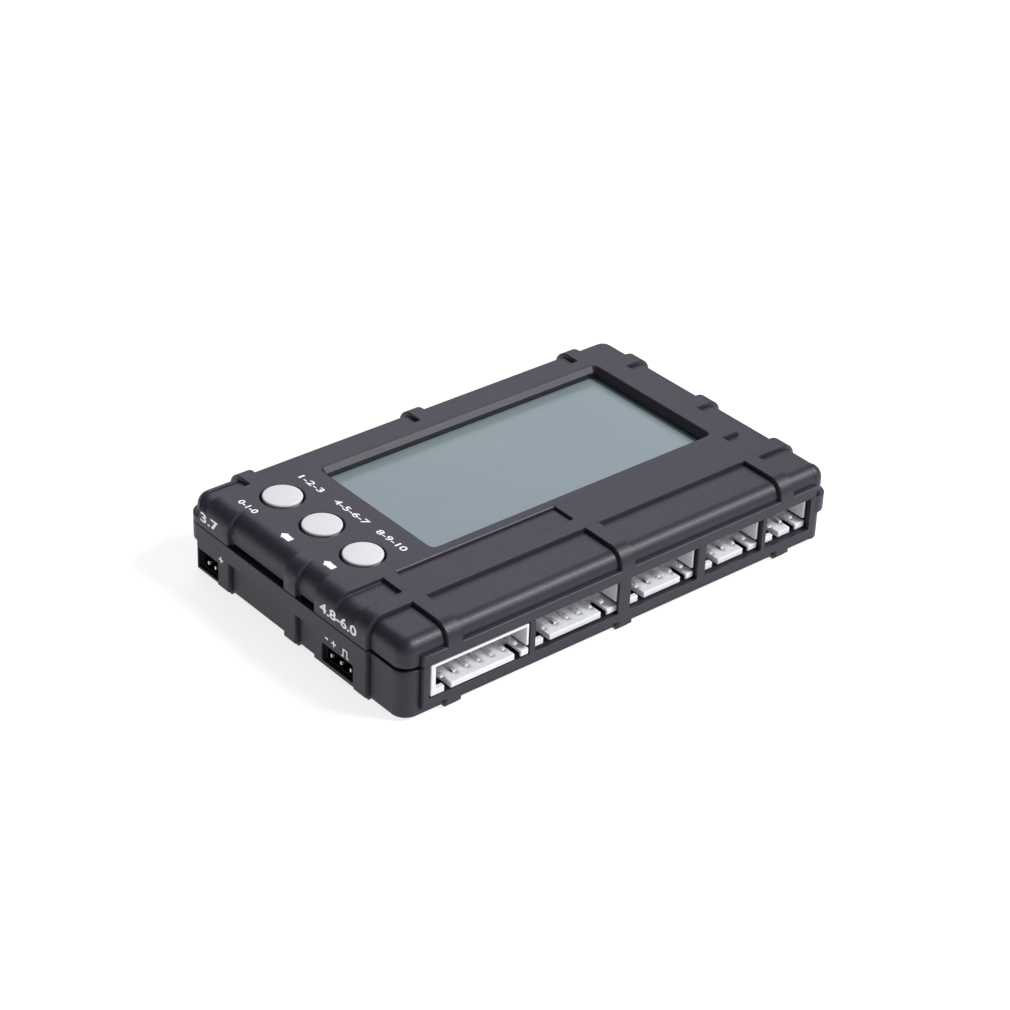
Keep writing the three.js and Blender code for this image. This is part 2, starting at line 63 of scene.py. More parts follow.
# ---- sizes of the moulding ----
RISE = 0.75  # straps, belt and frame above the panels
RISER = 0.36  # width of the rounded step between two levels
# Section of a step, in (share of the rounded step, depth) pairs: a bevel, a steep wall and a fine groove.
STEP_SECTION = [(0.0, 0.0), (0.058, 0.13), (0.317, 0.3), (0.683, 0.95), (0.942, 1.4), (1.0, 1.0)]
CORNER = 3.4  # radius in plan
SHARPER_CORNER = 1.0  # how much less the radius of the front right corner is
TOP_FILLET = 3.2
BOTTOM_FILLET = 0.8
RIM_FILLET = 0.16  # along the seam
RIM_GAP = 0.04  # half the visible gap at the seam
CORNER_GROOVE = 0.55  # how deep the seam groove is at the front left corner
GROOVE_LIFT = 0.22  # how much wider each side of the seam is there
GROOVE_FADE = 0.8  # height over which that widening dies out
FOOT_ROUND = 1.0  # how much further the strap feet are rounded off
WALL = 1.6
FLOOR = 1.2
CEILING = 13.6  # height of the inside of the top

STRAP_X = [-36.1, 0.0, 36.1]
STRAP_Y = [-18.75, 0.0, 18.8]
STRAP_HALF_X = 1.55
STRAP_HALF_Y = 1.65
CORNER_X = STRAP_X[2] + STRAP_HALF_X
CORNER_Y = STRAP_Y[0] - STRAP_HALF_Y
FOOT_LENGTH = 8.0
# Raised frame round the header openings, and raised belt along the seam elsewhere.
FRAME = {"left": -42.45, "right": 43.4, "bottom": 1.9, "top": 11.9}
BELT = {"bottom": 6.3, "top": 11.2}
FRONT_EDGE = -20.1  # where the recesses of the upper shell begin, towards each side
BACK_EDGE = 23.65
BACK_SLOPE = 2.5  # length behind it over which the back left corner comes to be set in sideways too
RIGHT_EDGE = 40.75
SIDE = {"inner": 37.2, "front": -17.1, "back": -12.2}  # recesses in the two ends
LEFT_TAPER = {"bottom": 10.3, "height": 2.0}  # over which the left one runs out
PANEL = {"left": -34.4, "right": -1.3, "front": -16.8, "back": -12.1, "depth": 0.5}  # on the top
PAD_2 = (17.15, 26.4)  # the raised pads round the sockets, along Y
PAD_3 = (-20.4, -6.6)
PAD_BOTTOM = 0.9
END_PANELS = [(STRAP_HALF_Y, PAD_2[0]), (PAD_3[1], -STRAP_HALF_Y)]  # in the left end
END_TAPER = 4.5  # length over which they run out on the top
RIGHT_PANELS = [  # in the right end; the first one reaches into the recess in front of it
    (SIDE["back"] - 1, -STRAP_HALF_Y),
    (STRAP_HALF_Y, STRAP_Y[2] - STRAP_HALF_Y),
    (STRAP_Y[2] + STRAP_HALF_Y, HALF_Y + 1),
]

# ---- sizes of the openings ----
PAST = 1.0  # how far a cutter reaches past what it cuts
OVERLAP = 0.4  # how far one body reaches into the next
CAVITY = {"corner": 1.6, "floor_bevel": 0.6, "top_bevel": 1.2}
VENT = {"height": 0.8, "front": 0.3, "back": 0.5, "past_wall": 0.2}  # slot in each end panel
WINDOW = {"left": -25.5, "right": 36.3, "front": -10.2, "back": 20.7, "corner": 1.2}
WINDOW_BEVEL = {"width": 0.75, "slope": 53, "rim": 0.3}
BUTTON_HOLE = {"radius": 3.78, "rim": 0.22}
BOSSES = [(-34.5, -17.1), (41.6, -17.1), (-31.0, 24.2), (41.6, 24.2)]
BOSS = {"radius": 2.8, "bore": 1.5, "above_seam": 3.4, "foot": 0.3}
COUNTERBORE = {"radius": 2.6, "top": 3.05, "rim": 0.2}
HEADER_OPENINGS = {  # left and right side of the opening in the case, for each number of pins
    7: (-41.15, -20.7),
    6: (-19.55, -1.75),
    5: (0.8, 15.85),
    4: (17.65, 30.75),
    3: (31.65, 42.15),
}
OPENING = {"corner": 0.3, "rim": 0.1}
HEADER_GAP = 0.3
SOCKET_GAP = 0.25
SOCKET_DEPTH = 7.5

# ---- sizes of the headers, sockets and buttons ----
MOUTH = {"corner": 0.15, "rim": 0.12}
HEADER_EDGE = 0.14
HEADER_WALL = {"left": 0.95, "right": 0.5, "top": 0.45, "floor": 1.1, "back": 1.2}
HEADER_FOOT = {"start": 2.65, "end": 4.05, "lip": 0.9}
HEADER_SLOT = {"before_pin": 0.45, "after_pin": 0.9, "depth": 4.2, "corner": 0.1, "rim": 0.1}
HEADER_SLIT = 0.7  # height of the slit in the right wall
HEADER_UNDERCUT = {"start": 0.1, "lip": 0.35, "beyond": 0.8, "skin": 0.5}
SOCKET_EDGE = 0.1
SOCKET_WALL = {"side": 0.6, "skin": 0.4, "back": 1.2}
PIN_GAP = 0.25
PIN_HOLE_PAST = 0.5
SOCKET_PINS = [2, 3]
BUTTONS = [1, 2, 3]
CAP = {"radius": 3.42, "edge": 0.26, "dome": 0.13, "lip": 0.4, "fillet": 0.12}
CAP_SKIRT = 3.12  # radius below the lip
CAP_FLANGE = {"top": 13.25, "bevel": 0.1}
GLASS = {"corner": 0.4, "bevel": 0.12}


# ---- mesh helpers ----
def mesh_object(name, vertices, faces):
    """A new object from vertices in millimetres."""
    mesh = bpy.data.meshes.new(name)
    mesh.from_pydata([[c * MM for c in v] for v in vertices], [], faces)
    mesh.validate()
    obj = bpy.data.objects.new(name, mesh)
    bpy.context.scene.collection.objects.link(obj)
    return obj


def fix_normals(obj):
    """Merges the vertices that coincide and turns every face outwards."""
    work = bmesh.new()
    work.from_mesh(obj.data)
    bmesh.ops.remove_doubles(work, verts=work.verts, dist=1e-7)
    bmesh.ops.recalc_face_normals(work, faces=work.faces)
    work.to_mesh(obj.data)
    work.free()


def apply_modifiers(obj):
    """Bakes the object's modifiers into its own mesh."""
    graph = bpy.context.evaluated_depsgraph_get()
    mesh = bpy.data.meshes.new_from_object(obj.evaluated_get(graph))
    obj.modifiers.clear()
    old = obj.data
    obj.data = mesh
    bpy.data.meshes.remove(old)


def boolean(obj, other, operation="DIFFERENCE"):
    """Cuts the other body out of the object, or joins it on, and deletes it."""
    modifier = obj.modifiers.new("boolean", "BOOLEAN")
    modifier.operation = operation
    modifier.solver = "MANIFOLD"
    modifier.object = other
    apply_modifiers(obj)
    mesh = other.data
    bpy.data.objects.remove(other)
    bpy.data.meshes.remove(mesh)


def bevelled(obj, width, segments=3):
    modifier = obj.modifiers.new("bevel", "BEVEL")
    modifier.width = width * MM
    modifier.segments = segments
    modifier.limit_method = "ANGLE"
    return obj


def smooth(obj, angle=35.0, weighted=True):
    """Smooth shading with sharp edges past the angle, and flat faces kept flat."""
    mesh = obj.data
    mesh.polygons.foreach_set("use_smooth", [True] * len(mesh.polygons))
    mesh.set_sharp_from_angle(angle=math.radians(angle))
    if weighted:
        modifier = obj.modifiers.new("weighted", "WEIGHTED_NORMAL")
        modifier.keep_sharp = True
        modifier.weight = 60


def box_mesh(name, low, high):
    (x0, y0, z0), (x1, y1, z1) = low, high
    corners = [(x, y, z) for z in (z0, z1) for y in (y0, y1) for x in (x0, x1)]
    faces = [(0, 2, 3, 1), (4, 5, 7, 6), (0, 1, 5, 4), (2, 6, 7, 3), (0, 4, 6, 2), (1, 3, 7, 5)]
    return mesh_object(name, corners, faces)


def middle(low, high):
    """Centre of a box in plan."""
    return (low[0] + high[0]) / 2, (low[1] + high[1]) / 2


def stack_mesh(name, low, high, corner, layers, turn=None):
    """A closed body through rounded rectangles from corner low to corner high, one for each
    (height, inset) layer, from the lowest up. The turn takes it from its own axes to the frame's."""
    steps = 8
    least_radius = 0.05
    centre = middle(low, high)
    half = ((high[0] - low[0]) / 2, (high[1] - low[1]) / 2)
    vertices = []
    for z, inset in layers:
        radius = max(corner - inset, least_radius)
        for quarter in range(4):
            sign_x = 1 if quarter in (0, 3) else -1
            sign_y = 1 if quarter < 2 else -1
            cx = centre[0] + sign_x * (half[0] - inset - radius)
            cy = centre[1] + sign_y * (half[1] - inset - radius)
            for k in range(steps + 1):
                angle = (quarter + k / steps) * math.pi / 2
                vertices.append((cx + radius * math.cos(angle), cy + radius * math.sin(angle), z))
    ring = 4 * (steps + 1)
    faces = [tuple(reversed(range(ring)))]
    for layer in range(len(layers) - 1):
        for i in range(ring):
            a = layer * ring + i
            b = layer * ring + (i + 1) % ring
            faces.append((a, b, b + ring, a + ring))
    faces.append(tuple(range((len(layers) - 1) * ring, len(layers) * ring)))
    if turn:
        vertices = [turn @ Vector(v) for v in vertices]
    return mesh_object(name, vertices, faces)


def lathe_mesh(name, centre, profile, sides=64):
    """A closed body of revolution about a vertical axis. Its (radius, height) profile starts and ends
    on that axis."""
    vertices = []
    rings = []
    for radius, z in profile:
        if radius == 0:
            rings.append([len(vertices)])
            vertices.append((centre[0], centre[1], z))
            continue
        rings.append(list(range(len(vertices), len(vertices) + sides)))
        for i in range(sides):
            angle = 2 * math.pi * i / sides
            x = centre[0] + radius * math.cos(angle)
            y = centre[1] + radius * math.sin(angle)
            vertices.append((x, y, z))
    faces = []
    for low, high in zip(rings, rings[1:]):
        for i in range(sides):
            j = (i + 1) % sides
            face = [low[i % len(low)], low[j % len(low)], high[j % len(high)], high[i % len(high)]]
            faces.append(tuple(dict.fromkeys(face)))
    obj = mesh_object(name, vertices, faces)
    fix_normals(obj)
    return obj


def post(name, centre, radius, low, high):
    return lathe_mesh(name, centre, [(0, low), (radius, low), (radius, high), (0, high)])


def arc(cx, cz, radius, start, end, steps):
    """Points of an arc in a (radius, height) profile, angles in degrees."""
    angles = [math.radians(start + (end - start) * i / steps) for i in range(steps + 1)]
    return [(cx + radius * math.cos(a), cz + radius * math.sin(a)) for a in angles]


# ---- the moulded envelope of the case ----
def climb(t, start, length):
    """0 up to the start, then evenly up to 1 over the length."""
    return min(max((t - start) / length, 0.0), 1.0)


def rise(t, edge):
    """0 below the edge, 1 above it, with a rounded step between."""
    s = climb(t, edge - RISER / 2, RISER)
    return s * s * s * (s * (6 * s - 15) + 10)


def between(t, low, high):
    return rise(t, low) * (1 - rise(t, high))


def step(recess):
    """Gives a recess that goes from 0 to 1 the section of a step."""
    for (start, low), (end, high) in zip(STEP_SECTION, STEP_SECTION[1:]):
        if recess <= end:
            return low + (high - low) * (recess - start) / (end - start)
    return 1.0


def corner_groove(x, y):
    """How deep the groove along the seam is: it is there only at the front left corner."""
    return CORNER_GROOVE * (1 - rise(x, FRAME["left"])) * (1 - rise(y, CORNER_Y))


def upper_recess(x, y, z):
    """How far the upper shell is set in at a point of the sharp box: along the normal, down and from
    the back, down only, and from the end only, and how deep the seam groove is."""
    above_frame = rise(z, FRAME["top"])
    above_belt = rise(z, BELT["top"])
    front = 1 - rise(y, FRONT_EDGE)
    back = rise(y, BACK_EDGE)
    front_corner = 1 - rise(y, CORNER_Y)
    left_corner = 1 - rise(x, -CORNER_X)
    right_corner = rise(x, CORNER_X)
    inner = STRAP_X[2] - STRAP_HALF_X
    spans = max(between(x, -inner, -STRAP_HALF_X), between(x, STRAP_HALF_X, inner))
    side = between(y, SIDE["front"], SIDE["back"])
    behind_pad = left_corner * rise(y, PAD_2[1]) * above_belt
    along = max(
        behind_pad,
        spans * front * above_frame,
        spans * back * above_belt,
        left_corner * front_corner * max(1 - rise(x, FRAME["left"]), above_frame),
        right_corner * front_corner * max(rise(x, FRAME["right"]), above_frame),
        right_corner * back * above_belt,
        rise(x, SIDE["inner"]) * side * above_belt,
        rise(x, RIGHT_EDGE) * above_belt * max(between(y, low, high) for low, high in RIGHT_PANELS),
    )
    back_left = left_corner * back * above_belt * (1 - behind_pad)
    side_left = climb(z, LEFT_TAPER["bottom"], LEFT_TAPER["height"]) * (1 - rise(x, -SIDE["inner"])) * side
    panel = between(x, PANEL["left"], PANEL["right"]) * between(y, PANEL["front"], PANEL["back"])
    end = max(between(y, low, high) for low, high in END_PANELS)
    return {
        "along": RISE * step(along),
        "back": RISE * step(back_left),
        "down": max(RISE * side_left, PANEL["depth"] * step(panel)),
        "end": RISE * climb(-x, HALF_X - TOP_FILLET - END_TAPER, END_TAPER) * end,
        "groove": corner_groove(x, y),
    }


def lower_recess(x, y, z):
    """The same for the lower shell, and how much further the strap feet are rounded off."""
    over_x = max(between(x, c - STRAP_HALF_X, c + STRAP_HALF_X) for c in STRAP_X)
    over_y = max(between(y, c - STRAP_HALF_Y, c + STRAP_HALF_Y) for c in STRAP_Y)
    feet = max(over_x * rise(abs(y), HALF_Y - FOOT_LENGTH), over_y * rise(abs(x), HALF_X - FOOT_LENGTH))
    pads = max(between(y, *PAD_2), between(y, *PAD_3))
    raised = max(
        feet,
        between(x, FRAME["left"], FRAME["right"]) * (1 - rise(y, 0)) * rise(z, FRAME["bottom"]),
        rise(z, BELT["bottom"]) * max(rise(y, CORNER_Y), rise(x, 0)),
        (1 - rise(x, 0)) * pads * rise(z, PAD_BOTTOM),
    )
    return {"along": RISE * step(1 - raised), "foot": FOOT_ROUND * feet, "groove": corner_groove(x, y)}


def wrap(x, y, z, on_flat, rim, fillet, up):
    """Moves a point of the sharp box on to the rounded envelope: (point, normal)."""
    sign_x = math.copysign(1, x)
    sign_y = math.copysign(1, y)
    u = (abs(x) - (HALF_X - CORNER)) / CORNER
    v = (abs(y) - (HALF_Y - CORNER)) / CORNER
    if u > 0 and v > 0:
        disc_u = u * math.sqrt(1 - v * v / 2)
        disc_v = v * math.sqrt(1 - u * u / 2)
        reach = math.hypot(disc_u, disc_v)
        plan = (disc_u / reach, disc_v / reach)
        inset = CORNER * (1 - reach)
    elif u > 0 or v > 0:
        plan = (1.0, 0.0) if u > v else (0.0, 1.0)
        inset = CORNER * (1 - max(u, v))
    else:
        return Vector((x, y, rim)), Vector((0, 0, up))
    if on_flat:
        lean = math.atan(max(fillet - inset, 0.0) / fillet)
        new_inset = fillet * (1 - math.sin(lean)) if inset < fillet else inset
        drop = fillet * (1 - math.cos(lean))
    else:
        depth = abs(rim - z)
        lean = math.pi / 2 - math.atan(max(fillet - depth, 0.0) / fillet)
        new_inset = fillet * (1 - math.sin(lean))
        drop = fillet * (1 - math.cos(lean)) if depth < fillet else depth
    if u > 0 and v > 0:
        px = HALF_X - CORNER + plan[0] * (CORNER - new_inset)
        py = HALF_Y - CORNER + plan[1] * (CORNER - new_inset)
    else:
        px = HALF_X - new_inset if plan[0] else abs(x)
        py = HALF_Y - new_inset if plan[1] else abs(y)
    tilt = math.sin(lean)
    normal = Vector((sign_x * plan[0] * tilt, sign_y * plan[1] * tilt, up * math.cos(lean)))
    return Vector((sign_x * px, sign_y * py, rim - up * drop)), normal


def sink(point, normal, source, seam, up, inset):
    """Sets a point of the envelope in by the recesses at its source in the sharp box. It also rounds
    the rim and makes the front right corner sharper."""
    x, y, z = source
    slope = 2 * abs(normal.z) * normal.xy.length
    along = inset["along"] + inset.get("foot", 0.0) * slope ** 2
    if x > 0 > y:
        along -= SHARPER_CORNER * max(abs(normal.x) + abs(normal.y) - normal.xy.length, 0.0)
    from_seam = abs(z - seam)
    if from_seam < RIM_FILLET:
        curl = 1 - math.sqrt(1 - (1 - from_seam / RIM_FILLET) ** 2)
        along += max(RIM_FILLET, inset["groove"]) * curl
    lift = inset["groove"] / CORNER_GROOVE * GROOVE_LIFT * (1 - climb(from_seam, RIM_FILLET, GROOVE_FADE))
    sideways = climb(abs(y), BACK_EDGE, BACK_SLOPE)
    point = point - normal * along
    point -= Vector((0, math.copysign(sideways, y), normal.z)) * inset.get("back", 0.0)
    point -= Vector((math.copysign(inset.get("end", 0.0), x), 0, up * (inset.get("down", 0.0) - lift)))
    return point


def riser_lines(edges, steps=5):
    """Grid lines across the rounded step at each edge."""
    return [edge + RISER * (k / steps - 0.5) for edge in edges for k in range(steps + 1)]


def fillet_lines(at, radius, inward, steps=6):
    """Grid lines that share out the quarter turn of a fillet evenly."""
    return [at + inward * radius * (1 - math.tan(math.radians(45 * k / steps))) for k in range(steps + 1)]


def rim_lines(seam, up, steps=5):
    """Grid lines across the fillet along the seam."""
    turns = [math.radians(90 * k / steps) for k in range(1, steps + 1)]
    return [seam + up * RIM_FILLET * (1 - math.cos(turn)) for turn in turns]


def grid_lines(low, high, lines, closest=0.02, widest=2.0):
    """Sorted grid lines from low to high: none too close together, and more of them in wide gaps."""
    kept = [low]
    for line in sorted(lines):
        if line - kept[-1] > closest and high - line > closest:
            kept.append(line)
    kept.append(high)
    filled = [low]
    for a, b in zip(kept, kept[1:]):
        count = max(1, math.ceil((b - a) / widest))
        filled += [a + (b - a) * i / count for i in range(1, count + 1)]
    return filled


def plan_lines():
    """Grid lines along X and Y that follow every feature of the moulding."""
    x_edges = [c + s for c in STRAP_X for s in (-STRAP_HALF_X, STRAP_HALF_X)]
    x_edges += [FRAME["left"], FRAME["right"], SIDE["inner"], -SIDE["inner"], RIGHT_EDGE]
    x_edges += [PANEL["left"], PANEL["right"], HALF_X - FOOT_LENGTH, FOOT_LENGTH - HALF_X]
    y_edges = [c + s for c in STRAP_Y for s in (-STRAP_HALF_Y, STRAP_HALF_Y)]
    y_edges += [FRONT_EDGE, BACK_EDGE, SIDE["front"], SIDE["back"], PANEL["front"], PANEL["back"]]
    y_edges += [*PAD_2, *PAD_3, HALF_Y - FOOT_LENGTH, FOOT_LENGTH - HALF_Y]
    x_lines = riser_lines(x_edges)
    y_lines = riser_lines(y_edges)
    for half, lines in ((HALF_X, x_lines), (HALF_Y, y_lines)):
        for sign in (-1, 1):
            for radius in (TOP_FILLET, BOTTOM_FILLET, CORNER):
                lines += fillet_lines(sign * half, radius, -sign)
    return grid_lines(-HALF_X, HALF_X, x_lines), grid_lines(-HALF_Y, HALF_Y, y_lines)


def shell_skin(name, rim, seam, fillet, up, z_edges, recess):
    """A closed solid: the outer skin of one shell, capped flat at the seam."""
    same = 1e-6
    x_lines, y_lines = plan_lines()
    z_lines = riser_lines(z_edges) + fillet_lines(rim, fillet, -up) + rim_lines(seam, up)
    z_lines = grid_lines(min(rim, seam), max(rim, seam), z_lines)
    levels = [z for z in z_lines if abs(z - rim) > same]
    if up < 0:
        levels.reverse()
    levels.append(rim)
    vertices = []
    index = {}

    def vertex(x, y, z, on_flat):
        key = (round(x, 5), round(y, 5), round(z, 5))
        if key not in index:
            point, normal = wrap(x, y, z, on_flat, rim, fillet, up)
            index[key] = len(vertices)
            vertices.append(sink(point, normal, (x, y, z), seam, up, recess(x, y, z)))
        return index[key]

    faces = []
    for i in range(len(x_lines) - 1):
        for j in range(len(y_lines) - 1):
            square = ((i, j), (i + 1, j), (i + 1, j + 1), (i, j + 1))
            faces.append([vertex(x_lines[a], y_lines[b], rim, True) for a, b in square])
    loop = [(x, -HALF_Y) for x in x_lines[:-1]] + [(HALF_X, y) for y in y_lines[:-1]]
    loop += [(x, HALF_Y) for x in reversed(x_lines[1:])] + [(-HALF_X, y) for y in reversed(y_lines[1:])]
    for a, b in zip(loop, loop[1:] + loop[:1]):
        for low, high in zip(levels, levels[1:]):
            corners = ((a, low), (b, low), (b, high), (a, high))
            faces.append([vertex(p[0], p[1], z, abs(z - rim) < same) for p, z in corners])
    faces.append([vertex(p[0], p[1], levels[0], False) for p in loop])
    obj = mesh_object(name, vertices, faces)
    fix_normals(obj)
    return obj


# ---- openings in the shells ----
TO_FRONT = Matrix(((1, 0, 0), (0, 0, -1), (0, 1, 0)))  # local +Z becomes -Y, local Y becomes Z
TO_LEFT = Matrix(((0, 0, -1), (-1, 0, 0), (0, 1, 0)))  # local +Z becomes -X, local X becomes -Y


def flare(mouth, radius):
    """(height, inset) layers of the mouth of a cutter, which round the rim that it leaves."""
    turn, steps, spread = 75, 4, 1.24
    layers = []
    for k in range(steps + 1):
        angle = math.radians(turn * k / steps)
        layers.append((mouth - radius + radius * math.sin(angle), -radius * (1 - math.cos(angle))))
    layers.append((mouth + 0.1 * radius, -spread * radius))
    layers.append((mouth + PAST, -spread * radius))
    return layers


def round_hole(name, centre, radius, deep, mouth, rim):
    layers = [(deep, 0.0), *flare(mouth, rim)]
    profile = [(0.0, deep)] + [(radius - inset, z) for z, inset in layers] + [(0.0, layers[-1][0])]
    return lathe_mesh(name, centre, profile)


def mouth_cutter(name, low, high, deep, mouth, shape, turn):
    """A cutter with a flared mouth. The shape has the radius of its corners and of the rim it leaves."""
    return stack_mesh(name, low, high, shape["corner"], [(deep, 0.0), *flare(mouth, shape["rim"])], turn)


def window_cutter():
    """The display window: straight walls, a steep bevel and a rounded rim."""
    width, slope, rim = WINDOW_BEVEL["width"], WINDOW_BEVEL["slope"], WINDOW_BEVEL["rim"]
    low, high = (WINDOW["left"], WINDOW["front"]), (WINDOW["right"], WINDOW["back"])
    layers = [(CEILING - 2 * PAST, width), (TOP - width * math.tan(math.radians(slope)), width)]
    edge = rim * math.tan(math.radians(slope / 2))
    for angle in (slope, 45, 30, 15):
        lean = math.radians(angle)
        layers.append((TOP - rim * (1 - math.cos(lean)), rim * math.sin(lean) - edge))
    outside = -0.5
    layers += [(TOP + 0.05, outside), (TOP + 2 * PAST, outside)]
    return stack_mesh("cut_window", low, high, WINDOW["corner"], layers)


def cavity_cutter(layers):
    inner_x, inner_y = HALF_X - RISE - WALL, HALF_Y - RISE - WALL
    return stack_mesh("cut_cavity", (-inner_x, -inner_y), (inner_x, inner_y), CAVITY["corner"], layers)


def build_upper_case():
    seam = SEAM + RIM_GAP
    shell = shell_skin("upper_case", TOP, seam, TOP_FILLET, 1, [FRAME["top"], BELT["top"]], upper_recess)
    bevel = CAVITY["top_bevel"]
    boolean(shell, cavity_cutter([(seam - PAST, 0), (CEILING - bevel, 0), (CEILING, bevel)]))
    for boss in BOSSES:
        boolean(shell, post("add_boss", boss, BOSS["radius"], seam, CEILING + OVERLAP), "UNION")
        boolean(shell, post("cut_pilot", boss, BOSS["bore"], seam - PAST, SEAM + BOSS["above_seam"]))
    boolean(shell, window_cutter())
    for number in BUTTONS:
        centre = middle(*cad_box(f"button_cap_{number}"))
        radius, rim = BUTTON_HOLE["radius"], BUTTON_HOLE["rim"]
        boolean(shell, round_hole("cut_button", centre, radius, CEILING - PAST, TOP, rim))
    for low, high in END_PANELS:
        vent = box_mesh(
            "cut_vent",
            (-HALF_X - PAST, low + VENT["front"], seam - PAST),
            (-HALF_X + RISE + WALL + VENT["past_wall"], high - VENT["back"], SEAM + VENT["height"]),
        )
        boolean(shell, vent)
    smooth(shell)
    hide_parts("upper_shell")
    return shell


def cut_header_opening(shell, pins, top):
    """The mouth in the front wall, and a pocket that clears a housing set back from the mouth."""
    low, high = cad_box(f"header_{pins}_housing")
    left, right = HEADER_OPENINGS[pins]
    bottom = low[2] - HEADER_GAP
    deep = HALF_Y - RISE - WALL - PAST
    corner_low, corner_high = (left, bottom), (right, top)
    boolean(shell, mouth_cutter("cut_header", corner_low, corner_high, deep, HALF_Y, OPENING, TO_FRONT))
    front = low[1] - HEADER_GAP
    if front > -HALF_Y:
        left, right = low[0] - HEADER_GAP, high[0] + HEADER_GAP
        boolean(shell, box_mesh("cut_pocket", (left, front, bottom), (right, -deep, top)))


def cut_socket_opening(shell, pins):
    low, high = cad_box(f"socket_{pins}_housing")
    corner_low = (-high[1] - SOCKET_GAP, low[2] - SOCKET_GAP)
    corner_high = (-low[1] + SOCKET_GAP, high[2] + SOCKET_GAP)
    deep = HALF_X - SOCKET_DEPTH
    boolean(shell, mouth_cutter("cut_socket", corner_low, corner_high, deep, HALF_X, OPENING, TO_LEFT))


def build_lower_case():
    seam = SEAM - RIM_GAP
    edges = [FRAME["bottom"], BELT["bottom"], PAD_BOTTOM]
    shell = shell_skin("lower_case", 0.0, seam, BOTTOM_FILLET, -1, edges, lower_recess)
    floor = RISE + FLOOR
    bevel = CAVITY["floor_bevel"]
    boolean(shell, cavity_cutter([(floor, bevel), (floor + bevel, 0), (seam + PAST, 0)]))
    radius, top, rim = COUNTERBORE["radius"], COUNTERBORE["top"], COUNTERBORE["rim"]
    counterbore = [
        (0, top),
        (radius, top),
        (radius, RISE + rim),
        (radius + 0.25 * rim, RISE + 0.35 * rim),
        (radius + rim, RISE - 0.05 * rim),
        (radius + rim, -PAST),
        (0, -PAST),
    ]
    for boss in BOSSES:
        boolean(shell, post("add_boss", boss, BOSS["radius"], RISE + BOSS["foot"], seam), "UNION")
        boolean(shell, post("cut_screw", boss, BOSS["bore"], -PAST, seam + PAST))
        boolean(shell, lathe_mesh("cut_counterbore", boss, counterbore))
    for pins in HEADER_OPENINGS:
        cut_header_opening(shell, pins, seam + 2 * PAST)
    for pins in SOCKET_PINS:
        cut_socket_opening(shell, pins)
    smooth(shell)
    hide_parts("lower_shell")
    return shell


# ---- headers and sockets ----
def build_header(pins):
    """White side-entry housing: a frame round the mouth, and a floor slotted for the mating plug."""
    node = f"header_{pins}_housing"
    low, high = cad_box(node)
    housing = bevelled(box_mesh(f"nylon_header_{pins}", low, high), HEADER_EDGE)
    apply_modifiers(housing)
    wall = HEADER_WALL
    mouth = -low[1]
    deep = -high[1] + wall["back"]
    slot_end = low[1] + HEADER_SLOT["depth"]
    floor = low[2] + wall["floor"]
    left, right = low[0] + wall["left"], high[0] - wall["right"]
    corner = (right, high[2] - wall["top"])
    boolean(housing, mouth_cutter("cut_mouth", (left, floor), corner, deep, mouth, MOUTH, TO_FRONT))
    last_pin = middle(*cad_box(f"header_{pins}_pin_{pins}"))[0]
    foot_end = low[0] + HEADER_FOOT["end"]
    last_slot = (last_pin - HEADER_SLOT["before_pin"], last_pin + HEADER_SLOT["after_pin"])
    for x0, x1 in ((low[0] + HEADER_FOOT["start"], foot_end), last_slot):
        slot_low, slot_high = (x0, low[2] - OVERLAP), (x1, floor + OVERLAP)
        slot = mouth_cutter("cut_slot", slot_low, slot_high, -slot_end, mouth, HEADER_SLOT, TO_FRONT)
        boolean(housing, slot)
    bottom = low[2] - PAST
    lip_end = low[1] + HEADER_FOOT["lip"]
    foot = box_mesh("cut_floor", (left, lip_end, bottom), (foot_end, slot_end, floor + 0.1))
    under = box_mesh(
        "cut_under",
        (last_slot[0] + HEADER_UNDERCUT["start"], low[1] + HEADER_UNDERCUT["lip"], bottom),
        (last_slot[1] + HEADER_UNDERCUT["beyond"], slot_end, floor - HEADER_UNDERCUT["skin"]),
    )
    slit = box_mesh(
        "cut_slit",
        (right - 0.1, low[1] - PAST, floor),
        (high[0] + PAST, slot_end, floor + HEADER_SLIT),
    )
    for cutter in (foot, under, slit):
        boolean(housing, cutter)
    for pin in range(1, pins + 1):
        pin_low, pin_high = cad_box(f"header_{pins}_pin_{pin}")
        thickness = pin_high[0] - pin_low[0]
        hole = box_mesh(
            "cut_pin",
            (pin_low[0] - PIN_GAP, -deep - PIN_HOLE_PAST, pin_high[2] - PIN_GAP - thickness),
            (pin_high[0] + PIN_GAP, high[1] + PAST, pin_high[2] + PIN_GAP),
        )
        boolean(housing, hole)
    smooth(housing, 40)
    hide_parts(node)
    return housing


